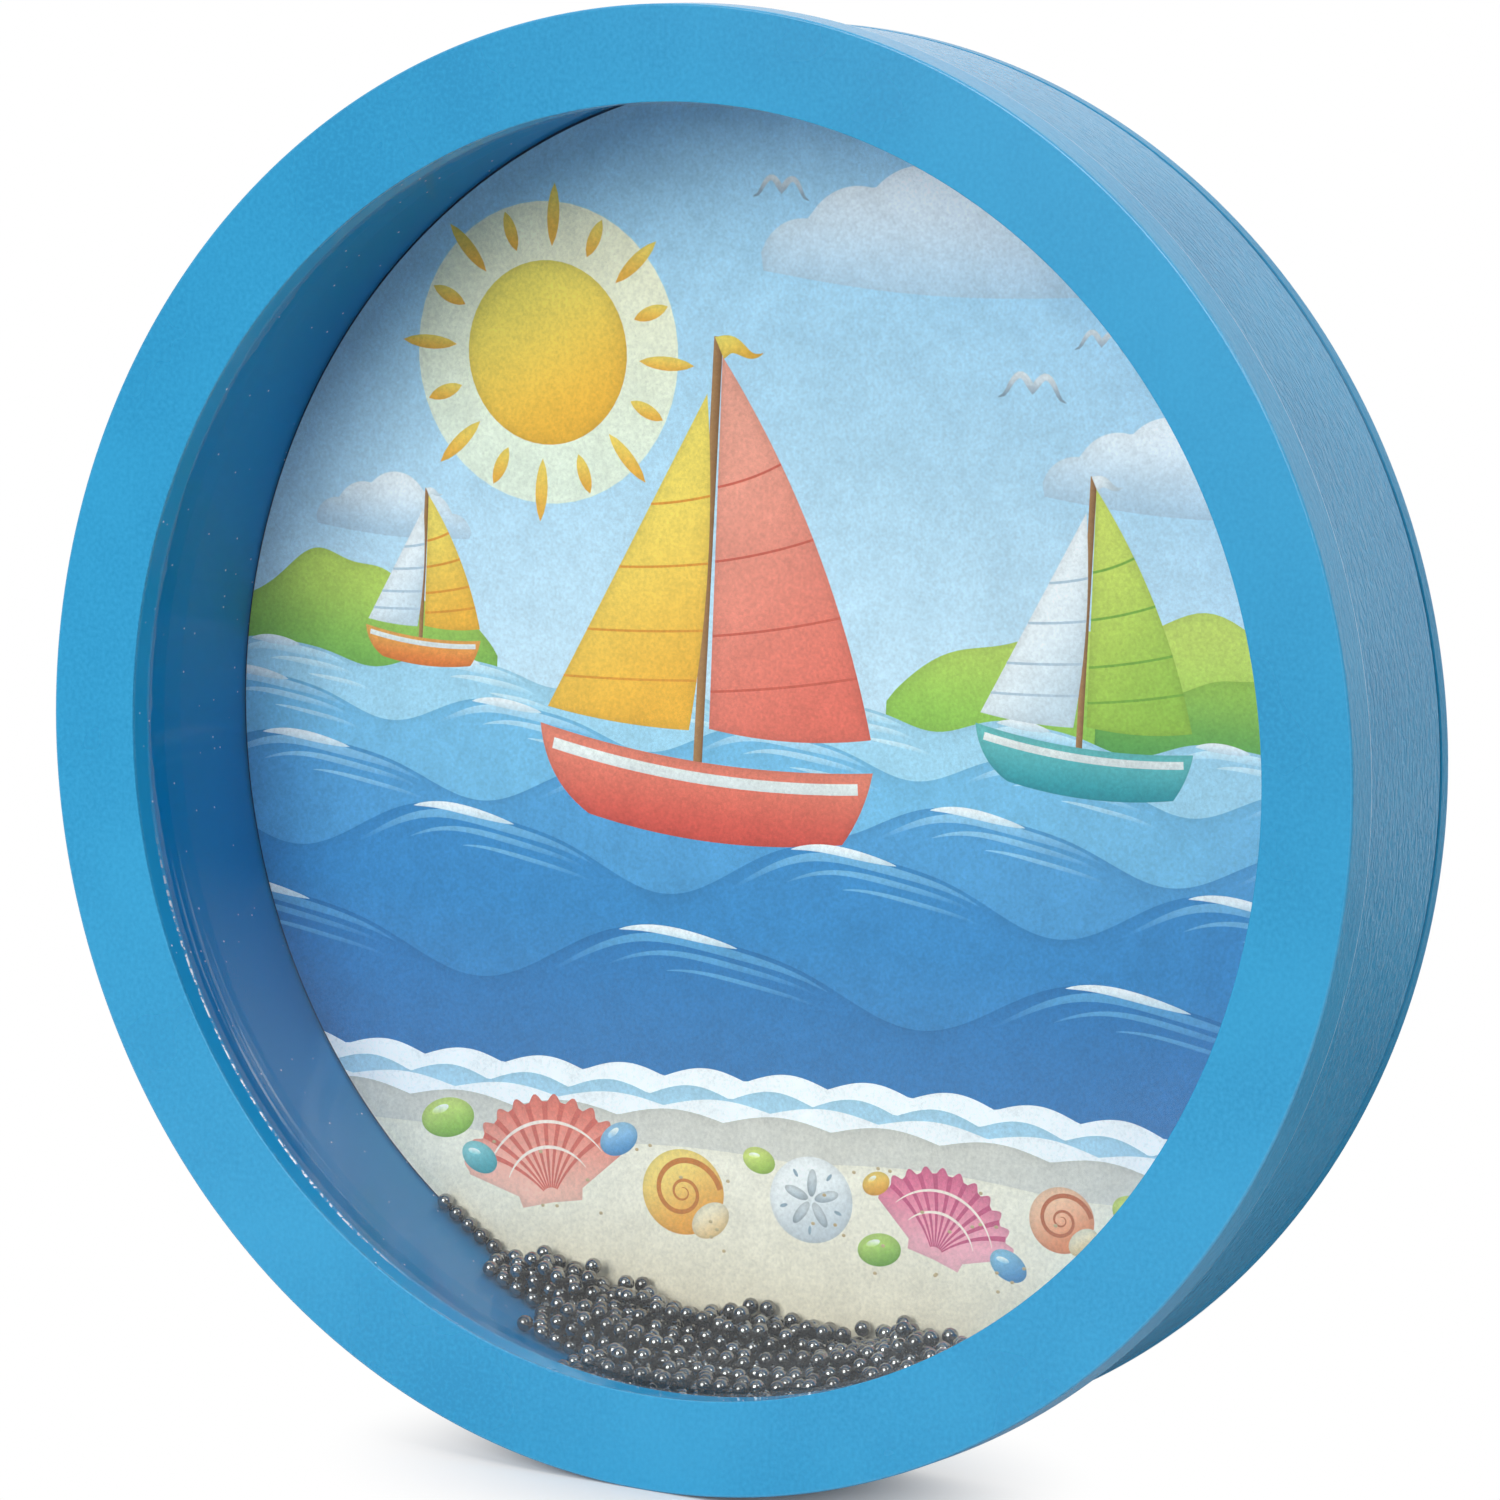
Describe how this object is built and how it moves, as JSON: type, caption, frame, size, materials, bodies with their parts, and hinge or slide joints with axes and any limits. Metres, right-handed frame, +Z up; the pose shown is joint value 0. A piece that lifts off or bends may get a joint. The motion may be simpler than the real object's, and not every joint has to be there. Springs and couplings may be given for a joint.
{
  "type": "ocean drum",
  "caption": "Shallow round wooden ocean drum with a clear front window, a printed sheet at the bottom and loose steel balls that roll round inside with a sound of waves.",
  "frame": {"origin": "centre of the rim, on the drum axis, halfway between the front and back faces", "axes": "+Z up with the drum upright as it is held, -Y out of the window along the drum axis, +X to the right as seen from the front"},
  "size_m": [0.2, 0.036, 0.2],
  "materials": {
    "lacquered_ring": "satin",
    "lacquered_hoop": "satin",
    "lacquered_board": "satin",
    "clear_pane": "gloss",
    "clear_glue": "gloss",
    "printed_paper": "satin",
    "steel_balls": "polished"
  },
  "bodies": {
    "shell": {"front_ring": "lacquered_ring", "hoop": "lacquered_hoop", "back_board": "lacquered_board", "window_pane": "clear_pane", "window_bead": "clear_glue", "print_sheet": "printed_paper"},
    "front_heap": {"front_balls": "steel_balls"},
    "middle_heap": {"middle_balls": "steel_balls"},
    "rear_heap": {"rear_balls": "steel_balls"}
  },
  "joints": [
    {"name": "front_sweep", "type": "hinge", "parent": "shell", "child": "front_heap", "pos_m": [0, 0, 0], "axis": [0, 1, 0], "continuous": true},
    {"name": "middle_sweep", "type": "hinge", "parent": "shell", "child": "middle_heap", "pos_m": [0, 0, 0], "axis": [0, 1, 0], "continuous": true},
    {"name": "rear_sweep", "type": "hinge", "parent": "shell", "child": "rear_heap", "pos_m": [0, 0, 0], "axis": [0, 1, 0], "continuous": true}
  ]
}
